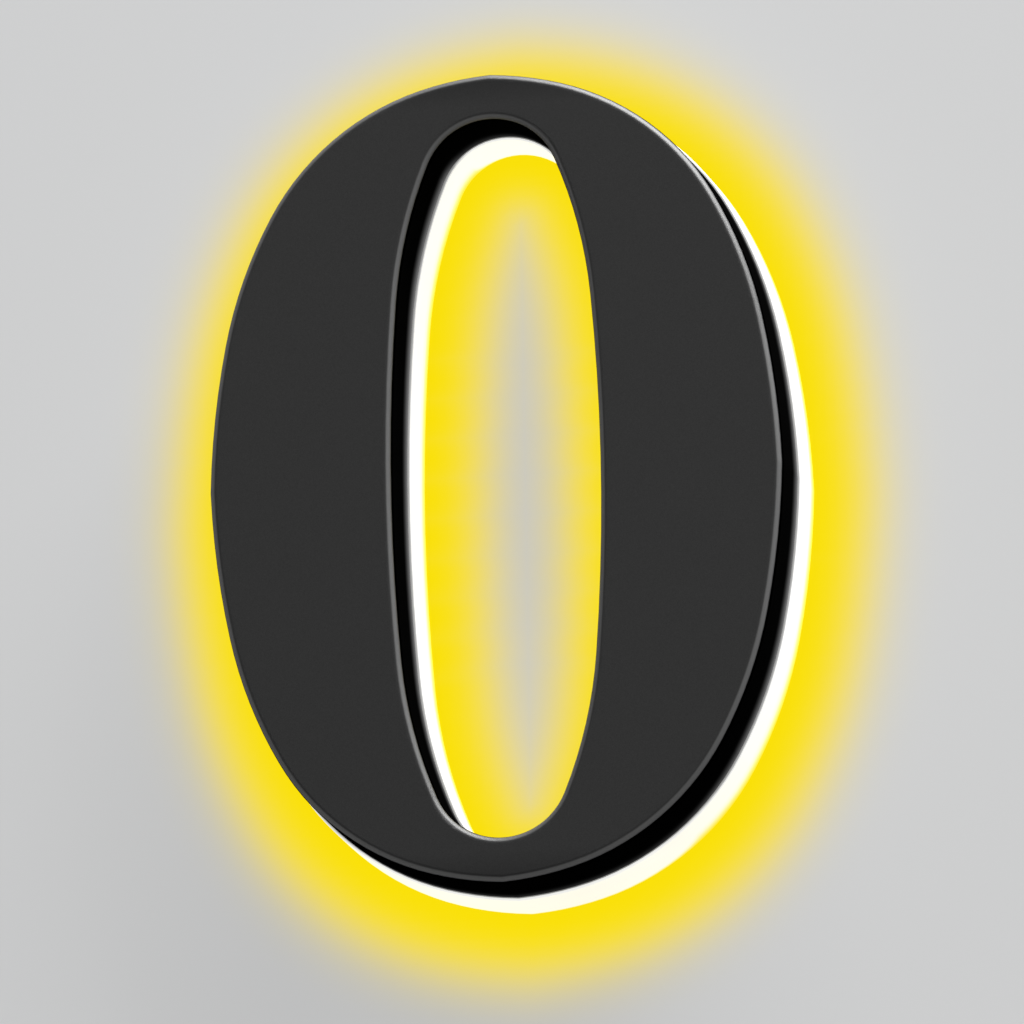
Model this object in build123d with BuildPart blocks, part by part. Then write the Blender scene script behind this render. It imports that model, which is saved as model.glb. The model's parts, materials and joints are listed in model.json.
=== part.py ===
from build123d import *

import math
import os

# A halo-lit house number: a metal numeral front, an opal tray behind it that glows at its edge and
# back, and four studs that hold it off the wall.
#
# Frame: X to the right as the numeral is read, Z up, and the face looks along -Y. The wall is the
# plane Y = 0 and the origin is the centre of the stud pattern on it. A "level" is a distance in
# front of the wall, and a "spot" is an (X, Z) place. All sizes are in millimetres.

os.makedirs("parts", exist_ok=True)

# ---- the numeral, seen from the front ------------------------------------------------------------
HEIGHT = 200.0
WIDTH = 141.4
STEM = 44.9                  # width of the two upright strokes at mid height
BAR = 11.2                   # height of the thin strokes at the crown and the foot

# each quarter of an outline is tangent arcs: side, shoulder, crown and, outside only, a flatter tip
SIDE_TURN = 9.8              # degrees that the side arc turns through
SHOULDER_TURN = 17.6
SHOULDER_BLEND = 0.304       # shoulder radius, from the crown's (0) to the side's (1)
TIP_TURN = 12.7
TIP_FLATNESS = 1.28          # tip radius as a share of the crown's
SIDE_PEAK = 1.8              # degrees: the faint point at the widest place
CROWN_PEAK = 3.2             # degrees: the faint point at the top and the bottom
PEAK_RADIUS = 6.0            # softens these points on the pieces with rounded edges
COUNTER_SIDE_TURN = 4.9
COUNTER_SHOULDER_TURN = 17.8
COUNTER_BLEND = 0.191

# ---- depths, from the wall forwards --------------------------------------------------------------
DEPTH = 40.0                 # back of the tray to the front of the face
WALL_GAP = 12.0              # wall to the back of the tray
TRAY_SHARE = 0.46            # of the depth, taken by the glowing edge
GASKET_THICKNESS = 0.6
FACE_THICKNESS = 3.0

TRAY_DEPTH = TRAY_SHARE * DEPTH
RETURN_DEPTH = DEPTH - TRAY_DEPTH - GASKET_THICKNESS - FACE_THICKNESS
BACK_LEVEL = WALL_GAP
SHOULDER_LEVEL = BACK_LEVEL + TRAY_DEPTH
RETURN_LEVEL = SHOULDER_LEVEL + GASKET_THICKNESS
FACE_LEVEL = RETURN_LEVEL + RETURN_DEPTH
FRONT_LEVEL = FACE_LEVEL + FACE_THICKNESS

# ---- walls and fits of the shell -----------------------------------------------------------------
RETURN_THICKNESS = 1.2
EDGE_RADIUS = 1.8            # rounded front edges of the face
TONGUE_HEIGHT = 1.2          # step behind the face that the strips seat round
WELD_FIT = 0.05
TRAY_PROUD = 0.65            # the tray stands this far outside the strips
TRAY_EDGE_RADIUS = 0.5
TRAY_FLOOR = 3.0
RIM_FIT = 0.25
RIM_THICKNESS = 2.0
RIM_HEIGHT = 4.0
GASKET_INSET = 0.1

RIM_INSET = RETURN_THICKNESS + RIM_FIT
CHANNEL_INSET = RIM_INSET + RIM_THICKNESS
TONGUE_INSET = RETURN_THICKNESS + WELD_FIT
FLOOR_LEVEL = BACK_LEVEL + TRAY_FLOOR
TONGUE_LEVEL = FACE_LEVEL - TONGUE_HEIGHT

# ---- light boards, one in each upright stroke ----------------------------------------------------
BOARD_THICKNESS = 1.6
BOARD_INSET = 5.0            # board edge in from the outlines
BOARD_LENGTH = 136.0
BOARD_REAR_SHARE = 0.115     # of the depth, from the tray's shoulder to the back of the boards
WASHER_THICKNESS = 0.5

BOARD_REAR = SHOULDER_LEVEL + BOARD_REAR_SHARE * DEPTH
BOARD_FRONT = BOARD_REAR + BOARD_THICKNESS

LED_ROWS = 11
LED_END_MARGIN = 8.0
LED_SPREAD = 0.49 * STEM     # between a board's two columns of emitters
LED_WIDTH = 3.5
LED_HEIGHT = 2.8
LED_THICKNESS = 0.8
LED_WINDOW_RADIUS = 1.15
LED_WINDOW_DEPTH = 0.25

# ---- screws that hold the face, the boards and the tray together ---------------------------------
SCREW_RADIUS = 1.5
SCREW_HOLE_RADIUS = 1.7
SCREW_ROW = 52.0             # rows above and below the middle one
PILLAR_RADIUS = 3.0
PILLAR_FOOT_RADIUS = 4.0
PILLAR_FOOT_THICKNESS = 0.8
STANDOFF_FLATS = 5.5
STANDOFF_STUB = 6.0
STANDOFF_BORE_DEPTH = 8.0
SCREW_BOSS_RADIUS = 5.0
SCREW_BOSS_HEIGHT = 3.0
SCREW_HEAD_RADIUS = 2.85
SCREW_HEAD_HEIGHT = 1.65
SCREW_HEAD_ROOM = 0.4
SCREW_SEAL_THICKNESS = 0.6
SCREW_SOCKET_FLATS = 2.0
SCREW_SOCKET_DEPTH = 1.0
SCREW_LENGTH = 10.0

SCREW_RECESS_RADIUS = SCREW_HEAD_RADIUS + SCREW_HEAD_ROOM
SCREW_RECESS_DEPTH = SCREW_HEAD_HEIGHT + SCREW_SEAL_THICKNESS + SCREW_HEAD_ROOM
SCREW_SEAT_LEVEL = BACK_LEVEL + SCREW_RECESS_DEPTH
SCREW_HEAD_LEVEL = SCREW_SEAT_LEVEL - SCREW_SEAL_THICKNESS
STANDOFF_LEVEL = FLOOR_LEVEL + SCREW_BOSS_HEIGHT

# ---- wall fixings --------------------------------------------------------------------------------
STUD_SPACING_X = 92.0
STUD_SPACING_Z = 60.0
STUD_RADIUS = 2.0            # plain shank, set in the wall
STUD_THREAD_RADIUS = 1.77    # pitch radius of the thread between the wall and the tray
STUD_IN_WALL = 35.0
STUD_CHAMFER = 0.4
INSERT_RADIUS = 3.0
INSERT_LENGTH = 8.0
INSERT_GROOVE_DEPTH = 0.35
INSERT_GROOVE_WIDTH = 1.4
STUD_BOSS_RADIUS = 5.5
STUD_BOSS_ROOF = 2.0
NUT_FLATS = 7.0
NUT_HEIGHT = 3.2
NUT_CHAMFER = 0.35
SLEEVE_RADIUS = 5.0
SLEEVE_BORE_RADIUS = 2.2
SLEEVE_CHAMFER = 0.4
PAD_RADIUS = 6.0
PAD_THICKNESS = 1.0

SLEEVE_LENGTH = WALL_GAP - NUT_HEIGHT - PAD_THICKNESS

# ---- cable entry, cord clamp and terminals, on the right board -----------------------------------
CABLE_RADIUS = 2.5
GROMMET_FIT = 0.1
ENTRY_HEIGHT = -15.0         # Z of the cable entry
GROMMET_HOLE_RADIUS = 4.5
GROMMET_FLANGE_RADIUS = 6.0
GROMMET_FLANGE_THICKNESS = 1.2
GROMMET_ROUND = 0.5
BOARD_CABLE_HOLE_RADIUS = 3.5
CLAMP_HEIGHT = -25.0         # Z of the cord clamp
CLAMP_LENGTH = 16.0
CLAMP_WIDTH = 5.0
CLAMP_THICKNESS = 5.4
CLAMP_SQUEEZE = 0.6
CLAMP_ROUND = 1.0
CLAMP_SCREW_RADIUS = 1.0
CLAMP_SCREW_SPACING = 11.0
CLAMP_HEAD_RADIUS = 1.9
CLAMP_HEAD_HEIGHT = 1.3
CLAMP_SLOT_WIDTH = 0.5
CLAMP_SLOT_DEPTH = 0.6
CLAMP_NUT_FLATS = 4.0
CLAMP_NUT_HEIGHT = 1.6
TERMINAL_HEIGHT = -38.0      # Z of the terminal block
TERMINAL_PITCH = 5.0
TERMINAL_LENGTH = 8.0
TERMINAL_THICKNESS = 9.0
TERMINAL_ENTRY = 2.8
TERMINAL_ENTRY_LEVEL = 3.2   # above the board
TERMINAL_ENTRY_DEPTH = 4.0
TERMINAL_WELL_RADIUS = 1.6
TERMINAL_WELL_DEPTH = 4.0
TERMINAL_SCREW_HEIGHT = 2.4
TERMINAL_ROUND = 0.5
PIN_RADIUS = 0.5
PIN_FIT = 0.1
PIN_TAIL = 1.0

# ---- small components on the boards --------------------------------------------------------------
RECTIFIER_HEIGHT = 18.0      # Z of the rectifier
RECTIFIER_BODY = 6.5
RECTIFIER_THICKNESS = 2.6
RECTIFIER_LEG_WIDTH = 0.8
RECTIFIER_LEG_REACH = 1.6
RECTIFIER_LEG_THICKNESS = 0.5
CAPACITOR_HEIGHT = 34.0      # Z of the capacitor
CAPACITOR_RADIUS = 3.15
CAPACITOR_LENGTH = 7.0
CAPACITOR_BASE = 6.6
CAPACITOR_BASE_THICKNESS = 1.0
RESISTOR_ROWS = (-36.0, -18.0, 18.0, 36.0)
RESISTOR_LENGTH = 6.3
RESISTOR_WIDTH = 3.2
RESISTOR_THICKNESS = 0.7

# ---- the pair of leads over the crown, from board to board ---------------------------------------
LEAD_RADIUS = 0.7
LEAD_FIT = 0.05
LEAD_LEVELS = (2.2, 4.8)     # above the boards: the negative lead and the positive one
LEAD_PLUGGED = 2.5           # length of lead inside its socket
SOCKET_EDGE = 9.5            # socket centre from the counter's outline
SOCKET_END = 8.0             # socket centre from the end of the board
SOCKET_WIDTH = 6.0
SOCKET_LENGTH = 7.0
SOCKET_THICKNESS = 7.0
SOCKET_ROUND = 0.4
LEAD_STRAIGHT = 0.4          # straight share of a lead's climb from its socket to its bend
LEAD_BEND_DROP = 14.0        # bend below the crown
LEAD_PEAK_REACH = 9.0        # X where a lead meets the thin stroke
DRAIN_RADIUS = 1.25

ON_AXIS = 0.01               # a point of an outline nearer to an axis than this lies on it


class Oval:
    """An outline of the numeral: tangent arcs in each quarter, the same in all four."""

    def __init__(
        self,
        width,
        height,
        side_turn,
        shoulder_turn,
        blend,
        tip_turn=0.0,
        tip_flatness=1.0,
        side_peak=0.0,
        crown_peak=0.0,
    ):
        turns = [side_peak, side_peak + side_turn, side_peak + side_turn + shoulder_turn]
        turns += [90.0 - crown_peak - tip_turn, 90.0 - crown_peak]
        facing = [Vector(math.cos(math.radians(t)), math.sin(math.radians(t))) for t in turns]
        side, shoulder, crown, tip = (after - before for before, after in zip(facing, facing[1:]))
        # the arcs, each as long as its radius, carry the outline from its side to its crown
        by_side = side + shoulder * blend
        by_crown = shoulder * (1 - blend) + crown + tip * tip_flatness
        whole = Vector(-width / 2, height / 2)
        area = by_side.cross(by_crown).Z
        side_radius = whole.cross(by_crown).Z / area
        crown_radius = by_side.cross(whole).Z / area
        shoulder_radius = blend * side_radius + (1 - blend) * crown_radius
        self.radii = [side_radius, shoulder_radius, crown_radius]
        if tip_turn > 0:
            self.radii.append(crown_radius * tip_flatness)
        self.turns = turns[:len(self.radii) + 1]
        self.centres = [Vector(width / 2, 0) - facing[0] * side_radius]
        for joint, before, after in zip(facing[1:], self.radii, self.radii[1:]):
            self.centres.append(self.centres[-1] + joint * (before - after))

    def face(self, grow=0.0, peak_radius=0.0):
        """The area inside the outline, moved outwards by grow."""
        radii = [radius + grow for radius in self.radii]
        ends = list(self.turns)
        ends[0] = math.degrees(math.asin(-self.centres[0].Y / radii[0]))
        ends[-1] = math.degrees(math.acos(-self.centres[-1].X / radii[-1]))
        with BuildSketch() as area:
            with BuildLine():
                for centre, radius, start, end in zip(self.centres, radii, ends, ends[1:]):
                    CenterArc(centre, radius, start, end - start)
                mirror(about=Plane.YZ)
                mirror(about=Plane.XZ)
            make_face()
            if peak_radius > 0:
                peaks = area.vertices().filter_by(lambda spot: min(abs(spot.X), abs(spot.Y)) < ON_AXIS)
                fillet(peaks, radius=peak_radius)
        return area.sketch

    def reach(self, height, grow=0.0):
        """Half the width of the outline, moved outwards by grow, at a height above its middle."""
        for centre, radius, turn in zip(self.centres, self.radii, self.turns[1:]):
            rise = abs(height) - centre.Y
            if rise <= (radius + grow) * math.sin(math.radians(turn)):
                break
        return centre.X + math.sqrt((radius + grow) ** 2 - rise ** 2)


NUMERAL = Oval(
    WIDTH,
    HEIGHT,
    SIDE_TURN,
    SHOULDER_TURN,
    SHOULDER_BLEND,
    TIP_TURN,
    TIP_FLATNESS,
    SIDE_PEAK,
    CROWN_PEAK,
)
COUNTER = Oval(
    WIDTH - 2 * STEM,
    HEIGHT - 2 * BAR,
    COUNTER_SIDE_TURN,
    COUNTER_SHOULDER_TURN,
    COUNTER_BLEND,
)


def at(level):
    """The plane parallel to the wall at a level, looking forwards, with X and Z as its axes."""
    return Plane.XZ.offset(level)


def mid_stem(height):
    """X of the middle of the right-hand stroke at a height."""
    return (NUMERAL.reach(height) + COUNTER.reach(height)) / 2


SCREW_SPOTS = [(side * mid_stem(z), z) for side in (1, -1) for z in (-SCREW_ROW, 0.0, SCREW_ROW)]
STUD_SPOTS = [(x * STUD_SPACING_X / 2, z * STUD_SPACING_Z / 2) for x in (1, -1) for z in (1, -1)]
ENTRY_SPOT = (mid_stem(ENTRY_HEIGHT), ENTRY_HEIGHT)
DRAIN_SPOT = (0.0, BAR / 2 - HEIGHT / 2)

# ---- front face: plate with a rounded edge and a step for the side strips ------------------------
with BuildPart() as front_face:
    with BuildSketch(at(FACE_LEVEL)):
        add(NUMERAL.face(0.0, PEAK_RADIUS))
        add(COUNTER.face(), mode=Mode.SUBTRACT)
    extrude(amount=FACE_THICKNESS)
    fillet(front_face.edges().group_by(Axis.Y)[0], radius=EDGE_RADIUS)
    with BuildSketch(at(TONGUE_LEVEL)):
        add(NUMERAL.face(-TONGUE_INSET))
        add(COUNTER.face(TONGUE_INSET), mode=Mode.SUBTRACT)
    extrude(amount=TONGUE_HEIGHT)
front_face.part.label = "front_face"
export_step(front_face.part, "parts/front_face.step")

# ---- side strips, bent round the two outlines ----------------------------------------------------
with BuildPart() as outer_return:
    with BuildSketch(at(RETURN_LEVEL)):
        add(NUMERAL.face())
        add(NUMERAL.face(-RETURN_THICKNESS), mode=Mode.SUBTRACT)
    extrude(amount=RETURN_DEPTH)
outer_return.part.label = "outer_return"
export_step(outer_return.part, "parts/outer_return.step")

with BuildPart() as counter_return:
    with BuildSketch(at(RETURN_LEVEL)):
        add(COUNTER.face(RETURN_THICKNESS))
        add(COUNTER.face(), mode=Mode.SUBTRACT)
    extrude(amount=RETURN_DEPTH)
counter_return.part.label = "counter_return"
export_step(counter_return.part, "parts/counter_return.step")

# ---- flat gaskets between the strips and the tray's shoulders ------------------------------------
with BuildPart() as outer_gasket:
    with BuildSketch(at(SHOULDER_LEVEL)):
        add(NUMERAL.face(-GASKET_INSET))
        add(NUMERAL.face(GASKET_INSET - RIM_INSET), mode=Mode.SUBTRACT)
    extrude(amount=GASKET_THICKNESS)
outer_gasket.part.label = "outer_gasket"
export_step(outer_gasket.part, "parts/outer_gasket.step")

with BuildPart() as counter_gasket:
    with BuildSketch(at(SHOULDER_LEVEL)):
        add(COUNTER.face(RIM_INSET - GASKET_INSET))
        add(COUNTER.face(GASKET_INSET), mode=Mode.SUBTRACT)
    extrude(amount=GASKET_THICKNESS)
counter_gasket.part.label = "counter_gasket"
export_step(counter_gasket.part, "parts/counter_gasket.step")

# ---- opal tray: walls, rim that enters the strips, floor with bosses and holes -------------------
with BuildPart() as opal_tray:
    with BuildSketch(at(BACK_LEVEL)):
        add(NUMERAL.face(TRAY_PROUD, PEAK_RADIUS))
        add(COUNTER.face(-TRAY_PROUD), mode=Mode.SUBTRACT)
    extrude(amount=TRAY_DEPTH)
    fillet(opal_tray.edges().group_by(Axis.Y)[0], radius=TRAY_EDGE_RADIUS)
    fillet(opal_tray.edges().group_by(Axis.Y)[-1], radius=TRAY_EDGE_RADIUS)
    with BuildSketch(at(SHOULDER_LEVEL)):
        add(NUMERAL.face(-RIM_INSET))
        add(COUNTER.face(RIM_INSET), mode=Mode.SUBTRACT)
    extrude(amount=RIM_HEIGHT)
    with BuildSketch(at(FLOOR_LEVEL)):
        add(NUMERAL.face(-CHANNEL_INSET))
        add(COUNTER.face(CHANNEL_INSET), mode=Mode.SUBTRACT)
    extrude(amount=TRAY_DEPTH - TRAY_FLOOR + RIM_HEIGHT, mode=Mode.SUBTRACT)
    with BuildSketch(at(BACK_LEVEL)):
        with Locations(*STUD_SPOTS):
            Circle(STUD_BOSS_RADIUS)
    extrude(amount=INSERT_LENGTH + STUD_BOSS_ROOF)
    with BuildSketch(at(FLOOR_LEVEL)):
        with Locations(*SCREW_SPOTS):
            Circle(SCREW_BOSS_RADIUS)
    extrude(amount=SCREW_BOSS_HEIGHT)
    with BuildSketch(at(BACK_LEVEL)):
        with Locations(*STUD_SPOTS):
            Circle(INSERT_RADIUS)
    extrude(amount=INSERT_LENGTH, mode=Mode.SUBTRACT)
    with BuildSketch(at(BACK_LEVEL)):
        with Locations(*SCREW_SPOTS):
            Circle(SCREW_RECESS_RADIUS)
    extrude(amount=SCREW_RECESS_DEPTH, mode=Mode.SUBTRACT)
    with BuildSketch(at(BACK_LEVEL)):
        with Locations(*SCREW_SPOTS):
            Circle(SCREW_HOLE_RADIUS)
        with Locations(ENTRY_SPOT):
            Circle(GROMMET_HOLE_RADIUS)
        with Locations(DRAIN_SPOT):
            Circle(DRAIN_RADIUS)
    extrude(amount=TRAY_FLOOR + SCREW_BOSS_HEIGHT, mode=Mode.SUBTRACT)
opal_tray.part.label = "opal_tray"
export_step(opal_tray.part, "parts/opal_tray.step")

# ---- pillars welded to the back of the face, tapped from behind ----------------------------------
PILLAR_LEVEL = BOARD_FRONT + WASHER_THICKNESS
with BuildPart() as face_pillars:
    with BuildSketch(at(PILLAR_LEVEL)):
        with Locations(*SCREW_SPOTS):
            Circle(PILLAR_RADIUS)
    extrude(amount=TONGUE_LEVEL - PILLAR_LEVEL)
    with BuildSketch(at(TONGUE_LEVEL)):
        with Locations(*SCREW_SPOTS):
            Circle(PILLAR_FOOT_RADIUS)
    extrude(amount=-PILLAR_FOOT_THICKNESS)
    with BuildSketch(at(PILLAR_LEVEL)):
        with Locations(*SCREW_SPOTS):
            Circle(SCREW_RADIUS)
    extrude(amount=STANDOFF_STUB, mode=Mode.SUBTRACT)
face_pillars.part.label = "face_pillars"
export_step(face_pillars.part, "parts/face_pillars.step")

# ---- insulating washers between the boards and the pillars ---------------------------------------
with BuildPart() as board_washers:
    with BuildSketch(at(BOARD_FRONT)):
        with Locations(*SCREW_SPOTS):
            Circle(PILLAR_FOOT_RADIUS)
            Circle(SCREW_HOLE_RADIUS, mode=Mode.SUBTRACT)
    extrude(amount=WASHER_THICKNESS)
board_washers.part.label = "board_washers"
export_step(board_washers.part, "parts/board_washers.step")

# ---- hexagonal standoffs: threaded stub through the board, tapped end on the tray ----------------
with BuildPart() as standoffs:
    with BuildSketch(at(STANDOFF_LEVEL)):
        with Locations(*SCREW_SPOTS):
            RegularPolygon(STANDOFF_FLATS / 2, side_count=6, major_radius=False)
    extrude(amount=BOARD_REAR - STANDOFF_LEVEL)
    with BuildSketch(at(BOARD_REAR)):
        with Locations(*SCREW_SPOTS):
            Circle(SCREW_RADIUS)
    extrude(amount=STANDOFF_STUB)
    with BuildSketch(at(STANDOFF_LEVEL)):
        with Locations(*SCREW_SPOTS):
            Circle(SCREW_RADIUS)
    extrude(amount=STANDOFF_BORE_DEPTH, mode=Mode.SUBTRACT)
standoffs.part.label = "standoffs"
export_step(standoffs.part, "parts/standoffs.step")

# ---- screws from behind, each on a sealing washer in its recess ----------------------------------
with BuildPart() as screw_seals:
    with BuildSketch(at(SCREW_HEAD_LEVEL)):
        with Locations(*SCREW_SPOTS):
            Circle(SCREW_HEAD_RADIUS)
            Circle(SCREW_HOLE_RADIUS, mode=Mode.SUBTRACT)
    extrude(amount=SCREW_SEAL_THICKNESS)
screw_seals.part.label = "screw_seals"
export_step(screw_seals.part, "parts/screw_seals.step")

with BuildPart() as tray_screws:
    with BuildSketch(at(SCREW_HEAD_LEVEL)):
        with Locations(*SCREW_SPOTS):
            Circle(SCREW_HEAD_RADIUS)
    extrude(amount=-SCREW_HEAD_HEIGHT)
    fillet(tray_screws.edges().group_by(Axis.Y)[-1], radius=SCREW_HEAD_HEIGHT * 0.7)
    with BuildSketch(at(SCREW_HEAD_LEVEL)):
        with Locations(*SCREW_SPOTS):
            Circle(SCREW_RADIUS)
    extrude(amount=SCREW_LENGTH)
    with BuildSketch(at(SCREW_HEAD_LEVEL - SCREW_HEAD_HEIGHT)):
        with Locations(*SCREW_SPOTS):
            RegularPolygon(SCREW_SOCKET_FLATS / 2, side_count=6, major_radius=False)
    extrude(amount=SCREW_SOCKET_DEPTH, mode=Mode.SUBTRACT)
tray_screws.part.label = "tray_screws"
export_step(tray_screws.part, "parts/tray_screws.step")

# ---- light boards: a crescent in each upright stroke ---------------------------------------------
TERMINAL_SPOTS = [
    (mid_stem(TERMINAL_HEIGHT) + side * TERMINAL_PITCH / 2, TERMINAL_HEIGHT) for side in (-1, 1)
]
CLAMP_SPOTS = [
    (mid_stem(CLAMP_HEIGHT) + side * CLAMP_SCREW_SPACING / 2, CLAMP_HEIGHT) for side in (-1, 1)
]

for name, side in (("right", 1), ("left", -1)):
    with BuildPart() as led_board:
        with BuildSketch(at(BOARD_REAR)):
            add(NUMERAL.face(-BOARD_INSET))
            add(COUNTER.face(BOARD_INSET), mode=Mode.SUBTRACT)
            with Locations((side * WIDTH / 4, 0)):
                Rectangle(WIDTH / 2, BOARD_LENGTH, mode=Mode.INTERSECT)
            with Locations(*SCREW_SPOTS):
                Circle(SCREW_HOLE_RADIUS, mode=Mode.SUBTRACT)
            if name == "right":
                with Locations(ENTRY_SPOT):
                    Circle(BOARD_CABLE_HOLE_RADIUS, mode=Mode.SUBTRACT)
                with Locations(*TERMINAL_SPOTS):
                    Circle(PIN_RADIUS + PIN_FIT, mode=Mode.SUBTRACT)
                with Locations(*CLAMP_SPOTS):
                    Circle(CLAMP_SCREW_RADIUS + PIN_FIT, mode=Mode.SUBTRACT)
        extrude(amount=BOARD_THICKNESS)
    led_board.part.label = f"led_board_{name}"
    export_step(led_board.part, f"parts/led_board_{name}.step")

# ---- light emitters, on the backs of the boards, facing the wall ---------------------------------
LED_RUN = BOARD_LENGTH / 2 - LED_END_MARGIN
LED_HEIGHTS = [LED_RUN * (2 * row / (LED_ROWS - 1) - 1) for row in range(LED_ROWS)]
LED_SPOTS = [
    (side * (mid_stem(z) + shift), z)
    for side in (1, -1)
    for z in LED_HEIGHTS
    for shift in (-LED_SPREAD / 2, LED_SPREAD / 2)
]
with BuildPart() as led_emitters:
    with BuildSketch(at(BOARD_REAR - LED_THICKNESS)):
        with Locations(*LED_SPOTS):
            Rectangle(LED_WIDTH, LED_HEIGHT)
    extrude(amount=LED_THICKNESS)
    with BuildSketch(at(BOARD_REAR - LED_THICKNESS)):
        with Locations(*LED_SPOTS):
            Circle(LED_WINDOW_RADIUS)
    extrude(amount=LED_WINDOW_DEPTH, mode=Mode.SUBTRACT)
led_emitters.part.label = "led_emitters"
export_step(led_emitters.part, "parts/led_emitters.step")

# ---- ballast resistors, on the front of the left board -------------------------------------------
with BuildPart() as ballast_resistors:
    with BuildSketch(at(BOARD_FRONT)):
        with Locations(*[(-mid_stem(z), z) for z in RESISTOR_ROWS]):
            Rectangle(RESISTOR_LENGTH, RESISTOR_WIDTH)
    extrude(amount=RESISTOR_THICKNESS)
ballast_resistors.part.label = "ballast_resistors"
export_step(ballast_resistors.part, "parts/ballast_resistors.step")

# ---- rectifier and capacitor, on the front of the right board ------------------------------------
RECTIFIER_SPOT = (mid_stem(RECTIFIER_HEIGHT), RECTIFIER_HEIGHT)
with BuildPart() as rectifier:
    with BuildSketch(at(BOARD_FRONT)):
        with Locations(RECTIFIER_SPOT):
            Rectangle(RECTIFIER_BODY, RECTIFIER_BODY)
    extrude(amount=RECTIFIER_THICKNESS)
    chamfer(rectifier.edges().group_by(Axis.Y)[0], length=RECTIFIER_LEG_THICKNESS)
    with BuildSketch(at(BOARD_FRONT)):
        with Locations(RECTIFIER_SPOT):
            with GridLocations(RECTIFIER_BODY + RECTIFIER_LEG_REACH, RECTIFIER_BODY / 2, 2, 2):
                Rectangle(RECTIFIER_LEG_REACH, RECTIFIER_LEG_WIDTH)
    extrude(amount=RECTIFIER_LEG_THICKNESS)
rectifier.part.label = "rectifier"
export_step(rectifier.part, "parts/rectifier.step")

CAPACITOR_SPOT = (mid_stem(CAPACITOR_HEIGHT), CAPACITOR_HEIGHT)
with BuildPart() as input_capacitor:
    with BuildSketch(at(BOARD_FRONT)):
        with Locations(CAPACITOR_SPOT):
            Circle(CAPACITOR_RADIUS)
    extrude(amount=CAPACITOR_LENGTH)
    fillet(input_capacitor.edges().group_by(Axis.Y)[0], radius=CAPACITOR_BASE_THICKNESS / 2)
    with BuildSketch(at(BOARD_FRONT)):
        with Locations(CAPACITOR_SPOT):
            Rectangle(CAPACITOR_BASE, CAPACITOR_BASE)
    extrude(amount=CAPACITOR_BASE_THICKNESS)
input_capacitor.part.label = "input_capacitor"
export_step(input_capacitor.part, "parts/input_capacitor.step")

# ---- terminal block for the incoming cable, with its screws and pins -----------------------------
TERMINAL_SPOT = (mid_stem(TERMINAL_HEIGHT), TERMINAL_HEIGHT)
TERMINAL_TOP = BOARD_FRONT + TERMINAL_THICKNESS
with BuildPart() as terminal_block:
    with BuildSketch(at(BOARD_FRONT)):
        with Locations(TERMINAL_SPOT):
            Rectangle(2 * TERMINAL_PITCH, TERMINAL_LENGTH)
    extrude(amount=TERMINAL_THICKNESS)
    fillet(terminal_block.edges().group_by(Axis.Y)[0], radius=TERMINAL_ROUND)
    with BuildSketch(at(TERMINAL_TOP)):
        with Locations(*TERMINAL_SPOTS):
            Circle(TERMINAL_WELL_RADIUS)
    extrude(amount=-TERMINAL_WELL_DEPTH, mode=Mode.SUBTRACT)
    with BuildSketch(Plane.XY.offset(TERMINAL_HEIGHT + TERMINAL_LENGTH / 2)):
        with Locations(*[(x, -BOARD_FRONT - TERMINAL_ENTRY_LEVEL) for x, _ in TERMINAL_SPOTS]):
            Rectangle(TERMINAL_ENTRY, TERMINAL_ENTRY)
    extrude(amount=-TERMINAL_ENTRY_DEPTH, mode=Mode.SUBTRACT)
    with BuildSketch(at(BOARD_FRONT)):
        with Locations(*TERMINAL_SPOTS):
            Circle(PIN_RADIUS)
    extrude(amount=PIN_TAIL, mode=Mode.SUBTRACT)
terminal_block.part.label = "terminal_block"
export_step(terminal_block.part, "parts/terminal_block.step")

with BuildPart() as terminal_screws:
    with BuildSketch(at(TERMINAL_TOP - TERMINAL_WELL_DEPTH)):
        with Locations(*TERMINAL_SPOTS):
            Circle(TERMINAL_WELL_RADIUS - PIN_FIT)
    extrude(amount=TERMINAL_SCREW_HEIGHT)
    with BuildSketch(at(TERMINAL_TOP - TERMINAL_WELL_DEPTH + TERMINAL_SCREW_HEIGHT)):
        with Locations(*TERMINAL_SPOTS):
            Rectangle(2 * TERMINAL_WELL_RADIUS, CLAMP_SLOT_WIDTH)
    extrude(amount=-CLAMP_SLOT_DEPTH, mode=Mode.SUBTRACT)
terminal_screws.part.label = "terminal_screws"
export_step(terminal_screws.part, "parts/terminal_screws.step")

with BuildPart() as terminal_pins:
    with BuildSketch(at(BOARD_REAR - PIN_TAIL)):
        with Locations(*TERMINAL_SPOTS):
            Circle(PIN_RADIUS)
    extrude(amount=PIN_TAIL + BOARD_THICKNESS + PIN_TAIL)
terminal_pins.part.label = "terminal_pins"
export_step(terminal_pins.part, "parts/terminal_pins.step")

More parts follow.
